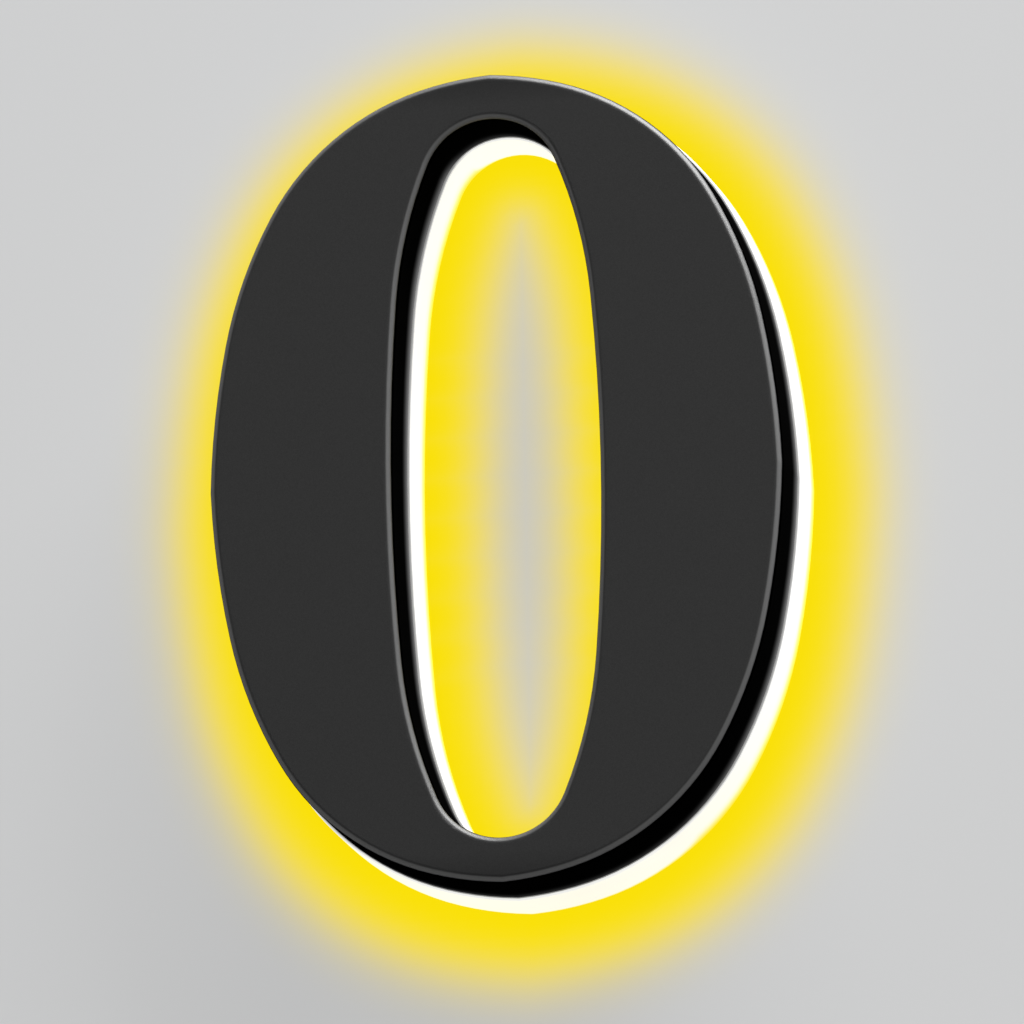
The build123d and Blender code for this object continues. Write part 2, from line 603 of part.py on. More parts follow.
# ---- cord clamp: a bar arched over the cable, two screws and two nuts ----------------------------
CLAMP_SPOT = (mid_stem(CLAMP_HEIGHT), CLAMP_HEIGHT)
CLAMP_TOP = BOARD_FRONT + CLAMP_THICKNESS
with BuildPart() as cord_clamp:
    with BuildSketch(Plane.XY.offset(CLAMP_HEIGHT - CLAMP_WIDTH / 2)):
        with Locations((CLAMP_SPOT[0], -BOARD_FRONT - CLAMP_THICKNESS / 2)):
            RectangleRounded(CLAMP_LENGTH, CLAMP_THICKNESS, CLAMP_ROUND)
            with Locations((0, CLAMP_THICKNESS / 4)):
                Rectangle(CLAMP_LENGTH, CLAMP_THICKNESS / 2)
        with Locations((CLAMP_SPOT[0], CLAMP_SQUEEZE - BOARD_FRONT - CABLE_RADIUS)):
            Circle(CABLE_RADIUS, mode=Mode.SUBTRACT)
        with Locations((CLAMP_SPOT[0], -BOARD_FRONT)):
            Rectangle(2 * CABLE_RADIUS, 2 * (CABLE_RADIUS - CLAMP_SQUEEZE), mode=Mode.SUBTRACT)
    extrude(amount=CLAMP_WIDTH)
    with BuildSketch(at(BOARD_FRONT)):
        with Locations(*CLAMP_SPOTS):
            Circle(CLAMP_SCREW_RADIUS + PIN_FIT)
    extrude(amount=CLAMP_THICKNESS, mode=Mode.SUBTRACT)
cord_clamp.part.label = "cord_clamp"
export_step(cord_clamp.part, "parts/cord_clamp.step")

with BuildPart() as clamp_screws:
    with BuildSketch(at(CLAMP_TOP)):
        with Locations(*CLAMP_SPOTS):
            Circle(CLAMP_HEAD_RADIUS)
    extrude(amount=CLAMP_HEAD_HEIGHT)
    with BuildSketch(at(CLAMP_TOP + CLAMP_HEAD_HEIGHT)):
        with Locations(*CLAMP_SPOTS):
            Rectangle(2 * CLAMP_HEAD_RADIUS, CLAMP_SLOT_WIDTH)
    extrude(amount=-CLAMP_SLOT_DEPTH, mode=Mode.SUBTRACT)
    with BuildSketch(at(CLAMP_TOP)):
        with Locations(*CLAMP_SPOTS):
            Circle(CLAMP_SCREW_RADIUS)
    extrude(amount=BOARD_REAR - CLAMP_NUT_HEIGHT - CLAMP_TOP)
clamp_screws.part.label = "clamp_screws"
export_step(clamp_screws.part, "parts/clamp_screws.step")

with BuildPart() as clamp_nuts:
    with BuildSketch(at(BOARD_REAR - CLAMP_NUT_HEIGHT)):
        with Locations(*CLAMP_SPOTS):
            RegularPolygon(CLAMP_NUT_FLATS / 2, side_count=6, major_radius=False)
            Circle(CLAMP_SCREW_RADIUS, mode=Mode.SUBTRACT)
    extrude(amount=CLAMP_NUT_HEIGHT)
clamp_nuts.part.label = "clamp_nuts"
export_step(clamp_nuts.part, "parts/clamp_nuts.step")

# ---- rubber grommet in the tray's floor, open for the cable --------------------------------------
with BuildPart() as cable_grommet:
    with BuildSketch(at(BACK_LEVEL - GROMMET_FLANGE_THICKNESS)):
        with Locations(ENTRY_SPOT):
            Circle(GROMMET_FLANGE_RADIUS)
    extrude(amount=GROMMET_FLANGE_THICKNESS)
    fillet(cable_grommet.edges().group_by(Axis.Y)[-1], radius=GROMMET_ROUND)
    with BuildSketch(at(BACK_LEVEL)):
        with Locations(ENTRY_SPOT):
            Circle(GROMMET_HOLE_RADIUS)
    extrude(amount=TRAY_FLOOR)
    with BuildSketch(at(FLOOR_LEVEL)):
        with Locations(ENTRY_SPOT):
            Circle(GROMMET_FLANGE_RADIUS)
    extrude(amount=GROMMET_FLANGE_THICKNESS)
    fillet(cable_grommet.edges().group_by(Axis.Y)[0], radius=GROMMET_ROUND)
    with BuildSketch(at(BACK_LEVEL - GROMMET_FLANGE_THICKNESS)):
        with Locations(ENTRY_SPOT):
            Circle(CABLE_RADIUS + GROMMET_FIT)
    extrude(amount=TRAY_FLOOR + 2 * GROMMET_FLANGE_THICKNESS, mode=Mode.SUBTRACT)
cable_grommet.part.label = "cable_grommet"
export_step(cable_grommet.part, "parts/cable_grommet.step")

# ---- wall fixings: inserts in the tray, studs, lock nuts, sleeves and pads -----------------------
with BuildPart() as stud_inserts:
    with BuildSketch(at(BACK_LEVEL)):
        with Locations(*STUD_SPOTS):
            Circle(INSERT_RADIUS)
            Circle(STUD_THREAD_RADIUS, mode=Mode.SUBTRACT)
    extrude(amount=INSERT_LENGTH)
    with BuildSketch(at(BACK_LEVEL + (INSERT_LENGTH - INSERT_GROOVE_WIDTH) / 2)):
        with Locations(*STUD_SPOTS):
            Circle(INSERT_RADIUS)
            Circle(INSERT_RADIUS - INSERT_GROOVE_DEPTH, mode=Mode.SUBTRACT)
    extrude(amount=INSERT_GROOVE_WIDTH, mode=Mode.SUBTRACT)
stud_inserts.part.label = "stud_inserts"
export_step(stud_inserts.part, "parts/stud_inserts.step")

with BuildPart() as wall_studs:
    with BuildSketch(at(-STUD_IN_WALL)):
        with Locations(*STUD_SPOTS):
            Circle(STUD_RADIUS)
    extrude(amount=STUD_IN_WALL)
    with BuildSketch(at(0)):
        with Locations(*STUD_SPOTS):
            Circle(STUD_THREAD_RADIUS)
    extrude(amount=BACK_LEVEL + INSERT_LENGTH)
    chamfer(wall_studs.edges().group_by(Axis.Y)[-1], length=STUD_CHAMFER)
    chamfer(wall_studs.edges().group_by(Axis.Y)[0], length=STUD_CHAMFER)
wall_studs.part.label = "wall_studs"
export_step(wall_studs.part, "parts/wall_studs.step")

with BuildPart() as lock_nuts:
    with BuildSketch(at(BACK_LEVEL - NUT_HEIGHT)):
        with Locations(*STUD_SPOTS):
            RegularPolygon(NUT_FLATS / 2, side_count=6, major_radius=False)
    extrude(amount=NUT_HEIGHT)
    with BuildSketch(at(BACK_LEVEL - NUT_HEIGHT)):
        with Locations(*STUD_SPOTS):
            Circle(NUT_FLATS / 2 + NUT_CHAMFER)
    extrude(amount=NUT_HEIGHT, mode=Mode.INTERSECT)
    with BuildSketch(at(BACK_LEVEL - NUT_HEIGHT)):
        with Locations(*STUD_SPOTS):
            Circle(STUD_THREAD_RADIUS)
    extrude(amount=NUT_HEIGHT, mode=Mode.SUBTRACT)
lock_nuts.part.label = "lock_nuts"
export_step(lock_nuts.part, "parts/lock_nuts.step")

with BuildPart() as spacer_sleeves:
    with BuildSketch(at(PAD_THICKNESS)):
        with Locations(*STUD_SPOTS):
            Circle(SLEEVE_RADIUS)
    extrude(amount=SLEEVE_LENGTH)
    chamfer(spacer_sleeves.edges().group_by(Axis.Y)[0], length=SLEEVE_CHAMFER)
    chamfer(spacer_sleeves.edges().group_by(Axis.Y)[-1], length=SLEEVE_CHAMFER)
    with BuildSketch(at(PAD_THICKNESS)):
        with Locations(*STUD_SPOTS):
            Circle(SLEEVE_BORE_RADIUS)
    extrude(amount=SLEEVE_LENGTH, mode=Mode.SUBTRACT)
spacer_sleeves.part.label = "spacer_sleeves"
export_step(spacer_sleeves.part, "parts/spacer_sleeves.step")

with BuildPart() as wall_pads:
    with BuildSketch(at(0)):
        with Locations(*STUD_SPOTS):
            Circle(PAD_RADIUS)
            Circle(SLEEVE_BORE_RADIUS, mode=Mode.SUBTRACT)
    extrude(amount=PAD_THICKNESS)
wall_pads.part.label = "wall_pads"
export_step(wall_pads.part, "parts/wall_pads.step")

# ---- sockets for the leads, at the upper ends of both boards -------------------------------------
SOCKET_HEIGHT = BOARD_LENGTH / 2 - SOCKET_END
SOCKET_REACH = COUNTER.reach(SOCKET_HEIGHT) + SOCKET_EDGE
SOCKET_SPOTS = [(side * SOCKET_REACH, SOCKET_HEIGHT) for side in (1, -1)]
SOCKET_TOP = SOCKET_HEIGHT + SOCKET_LENGTH / 2
with BuildPart() as lead_sockets:
    with BuildSketch(at(BOARD_FRONT)):
        with Locations(*SOCKET_SPOTS):
            Rectangle(SOCKET_WIDTH, SOCKET_LENGTH)
    extrude(amount=SOCKET_THICKNESS)
    fillet(lead_sockets.edges().group_by(Axis.Y)[0], radius=SOCKET_ROUND)
    with BuildSketch(Plane.XY.offset(SOCKET_TOP)):
        with Locations(*[(x, -BOARD_FRONT - rise) for x, _ in SOCKET_SPOTS for rise in LEAD_LEVELS]):
            Circle(LEAD_RADIUS + LEAD_FIT)
    extrude(amount=-LEAD_PLUGGED, mode=Mode.SUBTRACT)
lead_sockets.part.label = "lead_sockets"
export_step(lead_sockets.part, "parts/lead_sockets.step")

# ---- leads from board to board, over the crown ---------------------------------------------------
LEAD_BEND = HEIGHT / 2 - LEAD_BEND_DROP
LEAD_SIDE = [
    (SOCKET_REACH, SOCKET_TOP - LEAD_PLUGGED),
    (SOCKET_REACH, SOCKET_TOP + LEAD_STRAIGHT * (LEAD_BEND - SOCKET_TOP)),
    (mid_stem(LEAD_BEND), LEAD_BEND),
    (LEAD_PEAK_REACH, HEIGHT / 2 - BAR / 2),
]
LEAD_ROUTE = LEAD_SIDE + [(-x, z) for x, z in reversed(LEAD_SIDE)]


def corner_radius(before, corner, after):
    """The largest easy arc at a corner of a lead's route."""
    arrive = Vector(*corner) - Vector(*before)
    leave = Vector(*after) - Vector(*corner)
    half_turn = math.radians(arrive.get_angle(leave)) / 2
    return 0.45 * min(arrive.length, leave.length) / math.tan(half_turn)


LEAD_RADII = [corner_radius(*LEAD_ROUTE[i:i + 3]) for i in range(len(LEAD_ROUTE) - 2)]
print("lead radii", [round(radius, 1) for radius in LEAD_RADII])

for name, rise in zip(("negative", "positive"), LEAD_LEVELS):
    with BuildPart() as lead:
        with BuildLine(at(BOARD_FRONT + rise)) as route:
            FilletPolyline(*LEAD_ROUTE, radius=LEAD_RADII)
        path = route.wires()[0]
        with BuildSketch(Plane(origin=path @ 0, z_dir=path % 0)):
            Circle(LEAD_RADIUS)
        sweep(path=path)
    tube_volume = math.pi * LEAD_RADIUS ** 2 * path.length
    print("lead", name, "length", round(path.length, 1), "volume ratio", lead.part.volume / tube_volume)
    lead.part.label = f"lead_{name}"
    export_step(lead.part, f"parts/lead_{name}.step")
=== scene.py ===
import json
import math

import bmesh
import bpy
import numpy as np
from mathutils import Matrix, Vector


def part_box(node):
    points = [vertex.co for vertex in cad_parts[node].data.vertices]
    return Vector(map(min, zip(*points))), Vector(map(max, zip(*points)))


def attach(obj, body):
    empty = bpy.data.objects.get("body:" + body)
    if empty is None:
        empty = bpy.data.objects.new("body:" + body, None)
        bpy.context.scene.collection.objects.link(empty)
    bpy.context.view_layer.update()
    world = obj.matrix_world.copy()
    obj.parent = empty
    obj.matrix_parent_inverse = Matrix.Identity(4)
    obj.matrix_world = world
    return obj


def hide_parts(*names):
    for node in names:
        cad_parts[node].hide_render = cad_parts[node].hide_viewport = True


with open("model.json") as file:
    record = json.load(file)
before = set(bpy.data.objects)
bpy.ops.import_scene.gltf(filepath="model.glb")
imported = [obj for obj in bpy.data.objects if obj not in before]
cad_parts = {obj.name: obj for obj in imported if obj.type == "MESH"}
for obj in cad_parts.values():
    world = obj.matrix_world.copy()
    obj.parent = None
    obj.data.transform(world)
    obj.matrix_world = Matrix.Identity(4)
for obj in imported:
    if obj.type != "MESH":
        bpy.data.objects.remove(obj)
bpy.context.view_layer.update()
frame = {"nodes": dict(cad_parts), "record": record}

# The numeral hangs on a wall in the plane Y = 0 and looks along -Y. All sizes are in metres.

BODY = "root"
MM = 0.001

# ---- camera: to the right of the numeral and below it, through a very long lens -------------------
CAMERA_AZIMUTH = math.radians(10.85)
CAMERA_ELEVATION = math.radians(-11.66)
CAMERA_ROLL = math.radians(-0.94)
CAMERA_DISTANCE = 6.911
CAMERA_LENS = 1000.0
CAMERA_TARGET = Vector((0.2, -32.0, -4.8)) * MM


def make_camera():
    """The photograph's viewpoint."""
    camera = bpy.data.objects.new("camera", bpy.data.cameras.new("camera"))
    camera.data.lens = CAMERA_LENS
    camera.data.sensor_width = 36.0
    camera.data.clip_end = 100.0
    across = math.cos(CAMERA_ELEVATION)
    back = Vector((
        math.sin(CAMERA_AZIMUTH) * across,
        -math.cos(CAMERA_AZIMUTH) * across,
        math.sin(CAMERA_ELEVATION),
    ))
    level = Vector((math.cos(CAMERA_AZIMUTH), math.sin(CAMERA_AZIMUTH), 0.0))
    turn = Matrix.Rotation(CAMERA_ROLL, 3, back)
    right = turn @ level
    up = turn @ back.cross(level)
    pose = Matrix((right, up, back)).transposed().to_4x4()
    pose.translation = CAMERA_TARGET + back * CAMERA_DISTANCE
    camera.matrix_world = pose
    bpy.context.scene.collection.objects.link(camera)
    bpy.context.scene.camera = camera


# ---- studio: a pale wall behind, a pale floor far below, soft lamps -------------------------------
WALL_COLOUR = (0.74, 0.745, 0.75)
FLOOR_COLOUR = (0.74, 0.74, 0.73)
STAGE_EVENNESS = 0.75            # share of the stage's paleness that shadows can't reach
STAGE_LEVEL = 0.62
FLOOR_DROP = 1.6
STAGE_REACH = 3.0
# The halo is painted light: yellow emission laid on the wall round the tray.
HALO_YELLOW = (0.96, 0.75, 0.002)
HALO_RADIUS = 12.4 * MM          # half of the glow is left at this distance from the tray
HALO_BLUR = 7.4 * MM
HALO_SHIFT = Vector((-2.6, 1.5)) * MM
HALO_BODY = 2.2                  # holds the yellow full until the glow is nearly gone
HALO_STEP = 2.5 * MM
HALO_ROOM = 50.0 * MM            # fine mesh of the wall, past the tray
HALO_SOURCE = 1.2 * MM           # the halo follows the tray's outline this close to its back


def outline_points(node, low, high, inner):
    """The tray's outline seen from the front, as (X, Z) points in order round it."""
    found = {}
    for vertex in frame["nodes"][node].data.vertices:
        x, y, z = vertex.co
        if low < y < high:
            found.setdefault(round(math.atan2(z, x), 4), []).append((x, z))
    pick = min if inner else max
    return np.array([pick(found[angle], key=lambda p: math.hypot(*p)) for angle in sorted(found)])


def distance_to(outline, points):
    """Distance from each point to a closed outline."""
    nearest = np.full(len(points), 1e9)
    for start, end in zip(outline, np.roll(outline, -1, axis=0)):
        run = end - start
        along = np.clip((points - start) @ run / (run @ run), 0.0, 1.0)
        nearest = np.minimum(nearest, np.linalg.norm(points - start - along[:, None] * run, axis=1))
    return nearest


def inside(outline, points):
    """Which points lie within a closed outline."""
    x, z = points.T
    crossings = np.zeros(len(points), int)
    for (x0, z0), (x1, z1) in zip(outline, np.roll(outline, -1, axis=0)):
        spans = (z0 > z) != (z1 > z)
        rise = z1 - z0 if z1 != z0 else 1e-12
        crossings += spans & (x < x0 + (z - z0) * (x1 - x0) / rise)
    return crossings % 2 == 1


def glow(points):
    """How strongly the halo is painted onto the wall at (X, Z) points: 1 behind the tray, fading round it.
    """
    points = points - np.array(HALO_SHIFT)
    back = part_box("opal_tray")[1].y
    outer = outline_points("opal_tray", back - HALO_SOURCE, back, False)
    inner = outline_points("opal_tray", back - HALO_SOURCE, back, True)
    behind_tray = inside(outer, points) & ~inside(inner, points)
    to_outline = np.minimum(distance_to(outer, points), distance_to(inner, points))
    away = np.where(behind_tray, 0.0, to_outline)
    fade = 0.5 * np.vectorize(math.erfc)((away - HALO_RADIUS) / (HALO_BLUR * math.sqrt(2.0)))
    return 1.0 - (1.0 - fade) ** HALO_BODY


def looking_ray(nodes, links):
    """1 for rays that see things, directly, in gloss or through glass, and 0 for those that light."""
    light = nodes.new("ShaderNodeLightPath")
    looking = light.outputs["Is Camera Ray"]
    for name in ("Is Glossy Ray", "Is Transmission Ray"):
        either = nodes.new("ShaderNodeMath")
        either.operation = "MAXIMUM"
        links.new(looking, either.inputs[0])
        links.new(light.outputs[name], either.inputs[1])
        looking = either.outputs[0]
    return looking


def shown_from_front(nodes, links, surface):
    """Shows a stage surface to the eye and in reflections from its front, and to nothing else."""
    geometry = nodes.new("ShaderNodeNewGeometry")
    front = nodes.new("ShaderNodeMath")
    front.operation = "SUBTRACT"
    front.use_clamp = True
    links.new(looking_ray(nodes, links), front.inputs[0])
    links.new(geometry.outputs["Backfacing"], front.inputs[1])
    clear = nodes.new("ShaderNodeBsdfTransparent")
    mix = nodes.new("ShaderNodeMixShader")
    links.new(front.outputs[0], mix.inputs["Fac"])
    links.new(clear.outputs[0], mix.inputs[1])
    links.new(surface, mix.inputs[2])
    links.new(mix.outputs[0], nodes.new("ShaderNodeOutputMaterial").inputs["Surface"])


def stage_material(name, colour, glowing):
    """Plain matt paint, with the halo painted on it as yellow emission where glowing."""
    material = bpy.data.materials.new(name)
    material.use_nodes = True
    nodes, links = material.node_tree.nodes, material.node_tree.links
    nodes.clear()
    paint = nodes.new("ShaderNodeBsdfDiffuse")
    paint.inputs["Color"].default_value = (*colour, 1.0)
    even = nodes.new("ShaderNodeEmission")
    even.inputs["Color"].default_value = (*(STAGE_LEVEL * c / max(colour) for c in colour), 1.0)
    both = nodes.new("ShaderNodeMixShader")
    both.inputs["Fac"].default_value = STAGE_EVENNESS
    links.new(paint.outputs[0], both.inputs[1])
    links.new(even.outputs[0], both.inputs[2])
    surface = both.outputs[0]
    if glowing:
        halo = nodes.new("ShaderNodeEmission")
        halo.inputs["Color"].default_value = (*HALO_YELLOW, 1.0)
        amount = nodes.new("ShaderNodeAttribute")
        amount.attribute_name = "glow"
        lit = nodes.new("ShaderNodeMixShader")
        links.new(amount.outputs["Fac"], lit.inputs["Fac"])
        links.new(surface, lit.inputs[1])
        links.new(halo.outputs[0], lit.inputs[2])
        surface = lit.outputs[0]
    shown_from_front(nodes, links, surface)
    return material


def grid_lines(low, high):
    """Mesh lines along one axis: fine round the numeral, then one long step to each end."""
    count = int(math.ceil((high - low + 2 * HALO_ROOM) / HALO_STEP))
    fine = np.linspace(low - HALO_ROOM, high + HALO_ROOM, count + 1)
    return np.concatenate([[-STAGE_REACH], fine, [STAGE_REACH]])


def make_wall():
    """The wall, with the painted halo held in its mesh."""
    low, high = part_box("opal_tray")
    across, up = grid_lines(low.x, high.x), grid_lines(low.z, high.z)
    points = np.array([(x, z) for z in up for x in across])
    wide = len(across)
    faces = [
        (row * wide + i, row * wide + i + 1, (row + 1) * wide + i + 1, (row + 1) * wide + i)
        for row in range(len(up) - 1)
        for i in range(wide - 1)
    ]
    mesh = bpy.data.meshes.new("wall")
    mesh.from_pydata([(x, 0.0, z) for x, z in points], [], faces)
    mesh.attributes.new("glow", "FLOAT", "POINT").data.foreach_set("value", glow(points))
    mesh.materials.append(stage_material("wall_paint", WALL_COLOUR, True))
    wall = bpy.data.objects.new("wall", mesh)
    bpy.context.scene.collection.objects.link(wall)


def make_floor():
    """A plain floor, well below the numeral."""
    mesh = bpy.data.meshes.new("floor")
    shares = [(-1, -2), (1, -2), (1, 0), (-1, 0)]
    corners = [(x * STAGE_REACH, y * STAGE_REACH, -FLOOR_DROP) for x, y in shares]
    mesh.from_pydata(corners, [], [(0, 1, 2, 3)])
    mesh.materials.append(stage_material("floor_paint", FLOOR_COLOUR, False))
    floor = bpy.data.objects.new("floor", mesh)
    bpy.context.scene.collection.objects.link(floor)


WORLD_LIGHT = 0.15               # strength of the light from all round
WORLD_SHOWN = (0.66, 0.66, 0.66)  # what the eye and the gloss see
LAMPS = {                        # place and size in metres, power in watts
    "key_lamp": ((1.0, -0.38, 2.23), 2.3, 215.0),
    "fill_lamp": ((0.6, -2.5, 0.9), 1.6, 12.0),
    "back_lamp": ((-1.0, 2.4, 1.4), 1.6, 34.0),
}


def make_world():
    """Even light from all round, shown as a pale background."""
    world = bpy.data.worlds.new("studio")
    bpy.context.scene.world = world
    world.use_nodes = True
    nodes, links = world.node_tree.nodes, world.node_tree.links
    nodes.clear()
    lighting = nodes.new("ShaderNodeBackground")
    lighting.inputs["Color"].default_value = (1.0, 1.0, 1.0, 1.0)
    lighting.inputs["Strength"].default_value = WORLD_LIGHT
    shown = nodes.new("ShaderNodeBackground")
    shown.inputs["Color"].default_value = (*WORLD_SHOWN, 1.0)
    mix = nodes.new("ShaderNodeMixShader")
    links.new(looking_ray(nodes, links), mix.inputs["Fac"])
    links.new(lighting.outputs[0], mix.inputs[1])
    links.new(shown.outputs[0], mix.inputs[2])
    links.new(mix.outputs[0], nodes.new("ShaderNodeOutputWorld").inputs["Surface"])


def soft_lamp(name, place, size, power):
    """A square lamp that looks at the numeral."""
    data = bpy.data.lights.new(name, "AREA")
    data.shape = "SQUARE"
    data.size = size
    data.energy = power
    lamp = bpy.data.objects.new(name, data)
    lamp.location = place
    lamp.rotation_euler = (-Vector(place)).to_track_quat("-Z", "Y").to_euler()
    bpy.context.scene.collection.objects.link(lamp)


def make_lamps():
    """A broad key from above on the right, and weaker lamps in front and behind."""
    for name, (place, size, power) in LAMPS.items():
        soft_lamp(name, place, size, power)


# ---- materials -----------------------------------------------------------------------------------
class Finish:
    """A node-based material: a Principled surface with variation read in object space."""

    def __init__(self, name, roughness=0.5, specular=0.5, metallic=0.0):
        self.material = bpy.data.materials.new(name)
        self.material.use_nodes = True
        self.nodes = self.material.node_tree.nodes
        self.links = self.material.node_tree.links
        self.surface = self.nodes["Principled BSDF"]
        self.surface.inputs["Roughness"].default_value = roughness
        self.surface.inputs["Specular IOR Level"].default_value = specular
        self.surface.inputs["Metallic"].default_value = metallic
        self.place = self.nodes.new("ShaderNodeTexCoord").outputs["Object"]

    def stretched(self, scale):
        """Object coordinates scaled by a different amount along each axis."""
        mapping = self.nodes.new("ShaderNodeMapping")
        mapping.inputs["Scale"].default_value = scale
        self.links.new(self.place, mapping.inputs["Vector"])
        return mapping.outputs[0]

    def noise(self, scale, detail=2.0, rough=0.5, place=None):
        """A noise value between 0 and 1, with features about 1 / scale metres wide."""
        texture = self.nodes.new("ShaderNodeTexNoise")
        texture.inputs["Scale"].default_value = scale
        texture.inputs["Detail"].default_value = detail
        texture.inputs["Roughness"].default_value = rough
        self.links.new(place or self.place, texture.inputs["Vector"])
        return texture.outputs["Fac"]

    def ramp(self, value, *stops):
        """Colours along a value."""
        ramp = self.nodes.new("ShaderNodeValToRGB")
        elements = ramp.color_ramp.elements
        while len(elements) < len(stops):
            elements.new(0.5)
        for element, (position, colour) in zip(elements, stops):
            element.position = position
            element.color = (*colour, 1.0)
        self.links.new(value, ramp.inputs["Fac"])
        return ramp.outputs["Color"]

    def remap(self, value, low, high, to_low=0.0, to_high=1.0):
        """A value moved from one range to another, and held there."""
        node = self.nodes.new("ShaderNodeMapRange")
        for key, number in zip(("From Min", "From Max", "To Min", "To Max"), (low, high, to_low, to_high)):
            node.inputs[key].default_value = number
        self.links.new(value, node.inputs["Value"])
        return node.outputs[0]

    def math(self, operation, first, second=0.0):
        """One sum on two values, either of which may be a number."""
        node = self.nodes.new("ShaderNodeMath")
        node.operation = operation
        for socket, value in zip(node.inputs, (first, second)):
            if isinstance(value, (int, float)):
                socket.default_value = value
            else:
                self.links.new(value, socket)
        return node.outputs[0]

    def grey_ramp(self, value, *stops):
        """A number along a value."""
        return self.ramp(value, *((position, (level,) * 3) for position, level in stops))

    def multiply(self, first, second):
        """Two colours, or a colour and a number, multiplied."""
        node = self.nodes.new("ShaderNodeMix")
        node.data_type = "RGBA"
        node.blend_type = "MULTIPLY"
        node.inputs["Factor"].default_value = 1.0
        colours = [socket for socket in node.inputs if socket.type == "RGBA"]
        self.links.new(first, colours[0])
        self.links.new(second, colours[1])
        return next(socket for socket in node.outputs if socket.type == "RGBA")

    def axis(self, vector, name):
        """One coordinate of a vector."""
        node = self.nodes.new("ShaderNodeSeparateXYZ")
        self.links.new(vector, node.inputs[0])
        return node.outputs[name]

    def normal(self, name):
        """One coordinate of the surface's own direction."""
        return self.axis(self.nodes.new("ShaderNodeNewGeometry").outputs["Normal"], name)

    def upness(self):
        """How far a rim's outward direction, seen from the front, is from level: 0 to 1."""
        forward = self.normal("Y")
        plan = self.math("SQRT", self.math("SUBTRACT", 1.0, self.math("MULTIPLY", forward, forward)))
        return self.math("DIVIDE", self.math("ABSOLUTE", self.normal("Z")), self.math("MAXIMUM", plan, 0.05))

    def colour(self, value):
        """Drives the surface's colour."""
        self.links.new(value, self.surface.inputs["Base Color"])

    def rough(self, value):
        """Drives the surface's roughness."""
        self.links.new(value, self.surface.inputs["Roughness"])

    def bump(self, *layers):
        """Relief, from (value, depth in metres) layers."""
        normal = None
        for value, depth in layers:
            node = self.nodes.new("ShaderNodeBump")
            node.inputs["Strength"].default_value = 1.0
            node.inputs["Distance"].default_value = depth
            self.links.new(value, node.inputs["Height"])
            if normal:
                self.links.new(normal, node.inputs["Normal"])
            normal = node.outputs["Normal"]
        self.links.new(normal, self.surface.inputs["Normal"])


FACE_GREY = (0.024, 0.035)       # the coat's darkest and lightest fleck on the flat
EDGE_HIGHLIGHT_GREY = 0.045                # painted highlight: the coat lighter where the flat turns over
GLOSS_ROUGHNESS = 0.52           # the rounded edge shines, so it catches the lamp
GLOSS_IOR = 1.8
FLAT_GLOSS = 0.10                # share of that shine on the flat
END_SHADE = 0.60                 # painted shade: how much of the grey is left at the very crown and foot
END_SHADE_DEPTH = 8.0 * MM


def charcoal_coat():
    """Matt powder coat on the face: close orange peel, a faint fleck, a shinier rounded edge with a painted
    highlight line, and painted shade towards the crown and the foot.
    """
    finish = Finish("charcoal_coat", roughness=0.65, specular=0.0)
    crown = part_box("front_face")[1].z
    fleck = finish.noise(5200.0, 2.0, 0.7)
    height = finish.math("ABSOLUTE", finish.axis(finish.place, "Z"))
    # Painted shade: the flat's grey darkens towards the very crown and foot.
    flat = finish.math(
        "MULTIPLY",
        finish.remap(fleck, 0.3, 0.7, *FACE_GREY),
        finish.remap(height, crown - END_SHADE_DEPTH, crown, 1.0, END_SHADE),
    )
    facing = finish.math("ABSOLUTE", finish.normal("Y"))
    # Painted highlight: a lighter grey band on the rounded edge. The flat's grey fades to black across that
    # edge, as painted shade.
    edge = finish.grey_ramp(facing, (0.0, 0.0), (0.38, 0.0), (0.55, 1.0), (0.70, 1.0), (0.91, 0.0))
    finish.colour(finish.math(
        "ADD",
        finish.math("MULTIPLY", flat, finish.remap(facing, 0.5, 0.9)),
        finish.math("MULTIPLY", edge, EDGE_HIGHLIGHT_GREY),
    ))
    gloss = finish.grey_ramp(
        facing, (0.0, 0.0), (0.35, 0.0), (0.55, 1.0), (0.90, 1.0), (0.975, FLAT_GLOSS), (1.0, FLAT_GLOSS)
    )
    finish.links.new(gloss, finish.surface.inputs["Coat Weight"])
    finish.surface.inputs["Coat Roughness"].default_value = GLOSS_ROUGHNESS
    finish.surface.inputs["Coat IOR"].default_value = GLOSS_IOR
    finish.bump((finish.noise(1500.0, 2.0), 6e-6), (fleck, 2e-6))
    return finish


# Painted light: a grey glow emitted on the strips near their rear edge, standing in for the tray's light
# spilling onto them.
SPILL_DEPTH = 7.0 * MM
SPILL_CURVE = (2.2, 3.6)         # at the sides, and towards the crown and the foot
SPILL_GREY = 0.19
SPILL_FALL = 4.0                 # how fast that grey falls off as the strip turns from the sides
SPILL_LEFT = 0.15                # share of it at the crown and the foot


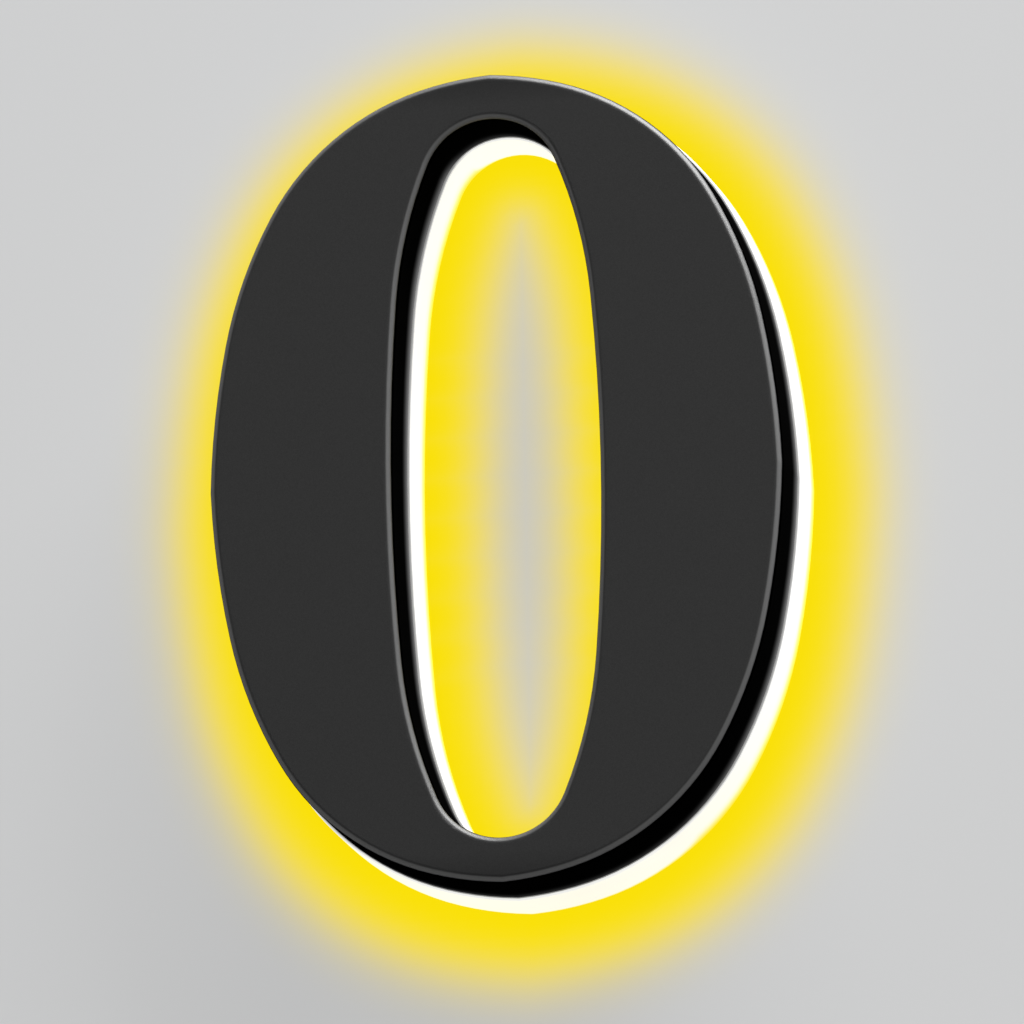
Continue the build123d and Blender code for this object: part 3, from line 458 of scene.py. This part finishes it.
def black_coat():
    """Matt black strips, with painted light: a grey glow emitted along their rear edge, standing in for the
    tray's light spilling onto them.
    """
    finish = Finish("black_coat", roughness=0.9, specular=0.0)
    speck = finish.noise(4200.0, 2.0, 0.6)
    finish.colour(finish.ramp(speck, (0.3, (0.0008,) * 3), (0.7, (0.0018,) * 3)))
    finish.bump((finish.noise(1500.0, 2.0), 5e-6),)
    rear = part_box("outer_return")[1].y
    # painted light: the emitted grey rises towards the rear edge
    spill = finish.remap(finish.axis(finish.place, "Y"), rear - SPILL_DEPTH, rear)
    sideways = finish.math("ABSOLUTE", finish.normal("X"))
    spill = finish.math("POWER", spill, finish.remap(sideways, 1.0, 0.7, *SPILL_CURVE))
    share = finish.math("MAXIMUM", finish.math("POWER", sideways, SPILL_FALL), SPILL_LEFT)
    spill = finish.math("MULTIPLY", spill, share)
    spill = finish.math("MULTIPLY", spill, SPILL_GREY)
    finish.links.new(spill, finish.surface.inputs["Emission Color"])
    finish.surface.inputs["Emission Strength"].default_value = 1.0
    return finish


OPAL_GLOW = 0.84
OPAL_BODY = 0.50
OPAL_BACK_GLOW = 0.40            # the back shows its recesses
EDGE_FADE = 8.0 * MM             # depth over which the side turns from yellow at the back to white
EDGE_FADE_AT_ENDS = 5.0          # how many times faster that turns at the crown and the foot
SHOULDER_DEPTH = 1.0 * MM        # the tray's front edge, painted shade: greyer where it turns to the face


def opal_acrylic():
    """Opal acrylic lit from inside: white sides, ivory at crown and foot, and yellow at the back, where the
    halo's yellow light is painted into its colour and its glow; painted shade greys its front edge at the
    sides.
    """
    finish = Finish("opal_acrylic", roughness=0.35, specular=0.3)
    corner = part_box("opal_tray")[1]
    back, crown = corner.y, corner.z
    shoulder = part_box("outer_return")[1].y
    depth = finish.axis(finish.place, "Y")
    height = finish.math("ABSOLUTE", finish.axis(finish.place, "Z"))
    upness = finish.upness()
    fade = finish.remap(depth, back, back - EDGE_FADE)
    faster = finish.remap(upness, 0.75, 1.0, 1.0, EDGE_FADE_AT_ENDS)
    from_back = finish.math("MULTIPLY", fade, faster)
    # Painted light: the halo's yellow, put into both the colour and the glow, fading from the back towards
    # white.
    by_depth = finish.ramp(
        from_back,
        (0.0, (1.0, 0.76, 0.03)),
        (0.13, (1.0, 0.80, 0.07)),
        (0.40, (1.0, 0.90, 0.36)),
        (0.66, (1.0, 0.97, 0.80)),
        (1.0, (1.0, 1.0, 0.985)),
    )
    towards_end = finish.ramp(
        finish.remap(height, 0.55 * crown, crown), (0.0, (1.0, 1.0, 1.0)), (1.0, (1.0, 1.0, 0.97))
    )
    # Painted shade: the tray's front edge darker where it turns towards the face, at the sides only.
    turned = finish.grey_ramp(
        finish.math("ABSOLUTE", finish.normal("Y")), (0.0, 0.0), (0.6, 0.10), (0.87, 0.38), (1.0, 0.68)
    )
    at_front = finish.remap(depth, shoulder + SHOULDER_DEPTH, shoulder + 2 * SHOULDER_DEPTH, 1.0, 0.0)
    at_side = finish.remap(upness, 0.6, 0.85, 1.0, 0.0)
    shade = finish.math("MULTIPLY", finish.math("MULTIPLY", turned, at_front), at_side)
    tint = finish.multiply(finish.multiply(by_depth, towards_end), finish.math("SUBTRACT", 1.0, shade))
    mist = finish.ramp(finish.noise(90.0, 2.0), (0.3, (OPAL_BODY * 0.97,) * 3), (0.7, (OPAL_BODY,) * 3))
    finish.colour(finish.multiply(tint, mist))
    rear = finish.remap(finish.normal("Y"), 0.5, 0.9, OPAL_GLOW, OPAL_BACK_GLOW)
    cloudy = finish.remap(finish.noise(28.0, 2.0), 0.3, 0.7, 0.92, 1.0)
    strength = finish.math("MULTIPLY", rear, cloudy)
    finish.links.new(finish.multiply(tint, strength), finish.surface.inputs["Emission Color"])
    finish.surface.inputs["Emission Strength"].default_value = 1.0
    finish.bump((finish.noise(700.0, 2.0), 2e-6),)
    return finish


def brushed(name, colour, roughness, grain, metallic=1.0):
    """Metal with fine marks; grain scales the marks along X, Y and Z."""
    finish = Finish(name, metallic=metallic)
    marks = finish.noise(1.0, 3.0, 0.6, finish.stretched(grain))
    dark, light = tuple(0.86 * c for c in colour), tuple(min(1.06 * c, 1.0) for c in colour)
    finish.colour(finish.ramp(marks, (0.3, dark), (0.7, light)))
    finish.rough(finish.remap(marks, 0.3, 0.7, roughness - 0.06, roughness + 0.08))
    finish.bump((marks, 4e-6),)
    return finish


def moulded(name, dark, light, roughness, scale, depth=4e-6, specular=0.4):
    """Moulded plastic or rubber with a fine grain."""
    finish = Finish(name, specular=specular)
    grain = finish.noise(scale, 3.0, 0.6)
    finish.colour(finish.ramp(grain, (0.3, dark), (0.7, light)))
    finish.rough(finish.remap(finish.noise(scale / 8, 2.0), 0.3, 0.7, roughness - 0.05, roughness + 0.05))
    finish.bump((grain, depth),)
    return finish


def make_finishes():
    """One finish for each material slot of the record."""
    return {
        "charcoal_coat": charcoal_coat(),
        "black_coat": black_coat(),
        "opal_acrylic": opal_acrylic(),
        "aluminium": brushed("aluminium", (0.80, 0.81, 0.82), 0.34, (400.0, 9000.0, 400.0)),
        "stainless_steel": brushed("stainless_steel", (0.62, 0.61, 0.60), 0.28, (1500.0, 1500.0, 1500.0)),
        "brass": brushed("brass", (0.80, 0.60, 0.28), 0.30, (1500.0, 1500.0, 1500.0)),
        "black_rubber": moulded("black_rubber", (0.010,) * 3, (0.020,) * 3, 0.72, 2600.0, specular=0.3),
        "board_white": moulded("board_white", (0.80, 0.81, 0.79), (0.86, 0.87, 0.85), 0.35, 900.0, 1e-6),
        "emitter": moulded("emitter", (0.90, 0.72, 0.20), (0.95, 0.78, 0.26), 0.30, 1800.0, 1e-6),
        "component_black": moulded("component_black", (0.012,) * 3, (0.022,) * 3, 0.5, 3000.0),
        "capacitor_can": brushed("capacitor_can", (0.78, 0.79, 0.80), 0.3, (900.0, 900.0, 900.0)),
        "terminal_green": moulded("terminal_green", (0.02, 0.20, 0.06), (0.03, 0.26, 0.08), 0.42, 2200.0),
        "white_nylon": moulded("white_nylon", (0.76, 0.75, 0.70), (0.83, 0.82, 0.78), 0.45, 2200.0),
        "lead_red": moulded("lead_red", (0.42, 0.012, 0.010), (0.52, 0.02, 0.015), 0.45, 2200.0),
        "lead_black": moulded("lead_black", (0.010,) * 3, (0.018,) * 3, 0.45, 2200.0),
    }


def dress_nodes(finishes):
    """Gives every CAD node the finish of its own slot."""
    for part in frame["record"]["subparts"]:
        mesh = frame["nodes"][part["node"]].data
        mesh.materials.clear()
        mesh.materials.append(finishes[part["material_slot"]].material)


# ---- studs with a real thread --------------------------------------------------------------------
THREAD_PITCH = 0.7 * MM
THREAD_DEPTH = 0.36 * MM
THREAD_SIDES = 24
THREAD_STEPS = ((0.0, 0.0), (0.125, 0.0), (0.4375, 1.0), (0.5625, 1.0))  # share of pitch, of depth
END_CHAMFER = 0.4 * MM
SAME_POINT = 1e-6


def threaded_stud(name, centre, radius, start, end, material):
    """A stud along Y with a helical thread, turned down at both ends."""
    turns = int(math.ceil((end - start) / THREAD_PITCH)) + 2
    steps = len(THREAD_STEPS)
    rings = turns * steps

    def corner(column, ring):
        turn, step = divmod(ring, steps)
        share, crest = THREAD_STEPS[step]
        y = start + (turn - 1 + share + column / THREAD_SIDES) * THREAD_PITCH
        y = min(max(y, start), end)
        to_end = min(y - start, end - y)
        reach = min(radius - THREAD_DEPTH * (1.0 - crest), radius - END_CHAMFER + to_end)
        angle = 2.0 * math.pi * column / THREAD_SIDES
        return (centre[0] + reach * math.cos(angle), y, centre[1] + reach * math.sin(angle))

    shape = bmesh.new()
    columns = [
        [shape.verts.new(corner(column, ring)) for ring in range(rings)] for column in range(THREAD_SIDES)
    ]
    for column in range(THREAD_SIDES):
        here, there = columns[column], columns[(column + 1) % THREAD_SIDES]
        lead = steps if column == THREAD_SIDES - 1 else 0
        for ring in range(rings - 1 - lead):
            shape.faces.new((here[ring], here[ring + 1], there[ring + 1 + lead], there[ring + lead]))
    bmesh.ops.remove_doubles(shape, verts=shape.verts, dist=SAME_POINT)
    bmesh.ops.dissolve_degenerate(shape, dist=SAME_POINT, edges=shape.edges)
    bmesh.ops.holes_fill(shape, edges=[edge for edge in shape.edges if edge.is_boundary], sides=0)
    bmesh.ops.recalc_face_normals(shape, faces=shape.faces)
    mesh = bpy.data.meshes.new(name)
    shape.to_mesh(mesh)
    shape.free()
    mesh.materials.append(material)
    stud = bpy.data.objects.new(name, mesh)
    bpy.context.scene.collection.objects.link(stud)
    return stud


def make_studs(finishes):
    """The four wall studs, threaded from end to end."""
    low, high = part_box("wall_studs")
    mount = next(m for m in frame["record"]["mounts"] if m["name"] == "wall_studs")
    dims = mount["dims"]
    radius = dims["stud_r_mm"] * MM
    half_x, half_z = dims["spacing_x_mm"] * MM / 2, dims["spacing_y_mm"] * MM / 2
    for index, (x, z) in enumerate(((1, 1), (1, -1), (-1, 1), (-1, -1)), 1):
        centre = (x * half_x, z * half_z)
        stud = threaded_stud(
            f"wall_stud_{index}", centre, radius, low.y, high.y, finishes["stainless_steel"].material
        )
        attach(stud, BODY)
        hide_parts("wall_studs")


# ---- build it ------------------------------------------------------------------------------------
make_camera()
make_wall()
make_floor()
make_world()
make_lamps()
finishes = make_finishes()
dress_nodes(finishes)
make_studs(finishes)

bpy.context.scene.view_settings.view_transform = "Standard"
